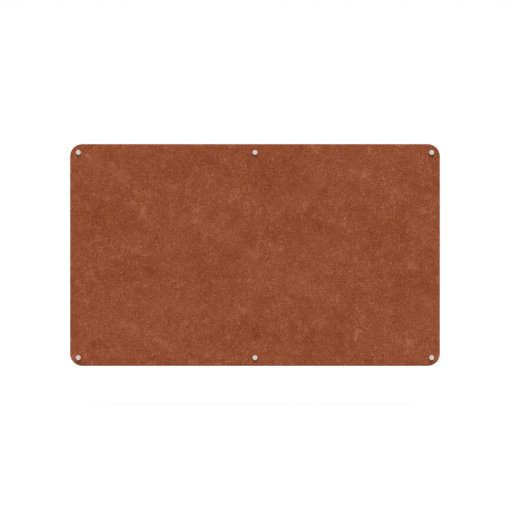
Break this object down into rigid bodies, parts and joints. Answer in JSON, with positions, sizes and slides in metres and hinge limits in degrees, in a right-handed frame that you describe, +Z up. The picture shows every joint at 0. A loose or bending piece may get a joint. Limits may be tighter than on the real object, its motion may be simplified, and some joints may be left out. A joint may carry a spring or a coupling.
{
  "type": "pinboard",
  "caption": "Wide frameless felt pinboard with rounded corners, held off the wall by turned aluminium standoffs whose caps unscrew to free the board.",
  "frame": {"origin": "middle of the board's width and height, on the face of the wall that the barrels stand against", "axes": "+X to the right as seen from the front, +Z up, front of the board towards -Y, +Y into the wall"},
  "size_m": [1.5, 0.0765, 0.9],
  "materials": {
    "felt": "matte",
    "cap_aluminium": "satin",
    "barrel_aluminium": "satin",
    "washer_plastic": "satin",
    "screw_steel": "satin",
    "plug_plastic": "matte"
  },
  "bodies": {
    "board": {"felt_board": "felt", "rear_washer_top_left": "washer_plastic", "rear_washer_top_middle": "washer_plastic", "rear_washer_top_right": "washer_plastic", "rear_washer_bottom_left": "washer_plastic", "rear_washer_bottom_middle": "washer_plastic", "rear_washer_bottom_right": "washer_plastic", "barrel_top_left": "barrel_aluminium", "barrel_top_middle": "barrel_aluminium", "barrel_top_right": "barrel_aluminium", "barrel_bottom_left": "barrel_aluminium", "barrel_bottom_middle": "barrel_aluminium", "barrel_bottom_right": "barrel_aluminium", "wall_screw_top_left": "screw_steel", "wall_screw_top_middle": "screw_steel", "wall_screw_top_right": "screw_steel", "wall_screw_bottom_left": "screw_steel", "wall_screw_bottom_middle": "screw_steel", "wall_screw_bottom_right": "screw_steel", "wall_plug_top_left": "plug_plastic", "wall_plug_top_middle": "plug_plastic", "wall_plug_top_right": "plug_plastic", "wall_plug_bottom_left": "plug_plastic", "wall_plug_bottom_middle": "plug_plastic", "wall_plug_bottom_right": "plug_plastic"},
    "washer_top_left": {"front_washer_top_left": "washer_plastic"},
    "washer_top_middle": {"front_washer_top_middle": "washer_plastic"},
    "washer_top_right": {"front_washer_top_right": "washer_plastic"},
    "washer_bottom_left": {"front_washer_bottom_left": "washer_plastic"},
    "washer_bottom_middle": {"front_washer_bottom_middle": "washer_plastic"},
    "washer_bottom_right": {"front_washer_bottom_right": "washer_plastic"},
    "cap_top_left": {"cap_top_left": "cap_aluminium"},
    "cap_top_middle": {"cap_top_middle": "cap_aluminium"},
    "cap_top_right": {"cap_top_right": "cap_aluminium"},
    "cap_bottom_left": {"cap_bottom_left": "cap_aluminium"},
    "cap_bottom_middle": {"cap_bottom_middle": "cap_aluminium"},
    "cap_bottom_right": {"cap_bottom_right": "cap_aluminium"}
  },
  "joints": [
    {"name": "cap_travel_top_left", "type": "slide", "parent": "board", "child": "washer_top_left", "axis": [0, -1, 0], "range_m": [0, 0.009]},
    {"name": "cap_turn_top_left", "type": "hinge", "parent": "washer_top_left", "child": "cap_top_left", "pos_m": [-0.716, -0.029, 0.416], "axis": [0, -1, 0], "range_deg": [0, 2160]},
    {"name": "cap_travel_top_middle", "type": "slide", "parent": "board", "child": "washer_top_middle", "axis": [0, -1, 0], "range_m": [0, 0.009]},
    {"name": "cap_turn_top_middle", "type": "hinge", "parent": "washer_top_middle", "child": "cap_top_middle", "pos_m": [0, -0.029, 0.416], "axis": [0, -1, 0], "range_deg": [0, 2160]},
    {"name": "cap_travel_top_right", "type": "slide", "parent": "board", "child": "washer_top_right", "axis": [0, -1, 0], "range_m": [0, 0.009]},
    {"name": "cap_turn_top_right", "type": "hinge", "parent": "washer_top_right", "child": "cap_top_right", "pos_m": [0.716, -0.029, 0.416], "axis": [0, -1, 0], "range_deg": [0, 2160]},
    {"name": "cap_travel_bottom_left", "type": "slide", "parent": "board", "child": "washer_bottom_left", "axis": [0, -1, 0], "range_m": [0, 0.009]},
    {"name": "cap_turn_bottom_left", "type": "hinge", "parent": "washer_bottom_left", "child": "cap_bottom_left", "pos_m": [-0.716, -0.029, -0.416], "axis": [0, -1, 0], "range_deg": [0, 2160]},
    {"name": "cap_travel_bottom_middle", "type": "slide", "parent": "board", "child": "washer_bottom_middle", "axis": [0, -1, 0], "range_m": [0, 0.009]},
    {"name": "cap_turn_bottom_middle", "type": "hinge", "parent": "washer_bottom_middle", "child": "cap_bottom_middle", "pos_m": [0, -0.029, -0.416], "axis": [0, -1, 0], "range_deg": [0, 2160]},
    {"name": "cap_travel_bottom_right", "type": "slide", "parent": "board", "child": "washer_bottom_right", "axis": [0, -1, 0], "range_m": [0, 0.009]},
    {"name": "cap_turn_bottom_right", "type": "hinge", "parent": "washer_bottom_right", "child": "cap_bottom_right", "pos_m": [0.716, -0.029, -0.416], "axis": [0, -1, 0], "range_deg": [0, 2160]}
  ],
  "couplings": [
    {"joint": "cap_travel_top_left", "follows": "cap_turn_top_left", "m_per_rad": 0.00023873},
    {"joint": "cap_travel_top_middle", "follows": "cap_turn_top_middle", "m_per_rad": 0.00023873},
    {"joint": "cap_travel_top_right", "follows": "cap_turn_top_right", "m_per_rad": 0.00023873},
    {"joint": "cap_travel_bottom_left", "follows": "cap_turn_bottom_left", "m_per_rad": 0.00023873},
    {"joint": "cap_travel_bottom_middle", "follows": "cap_turn_bottom_middle", "m_per_rad": 0.00023873},
    {"joint": "cap_travel_bottom_right", "follows": "cap_turn_bottom_right", "m_per_rad": 0.00023873}
  ]
}
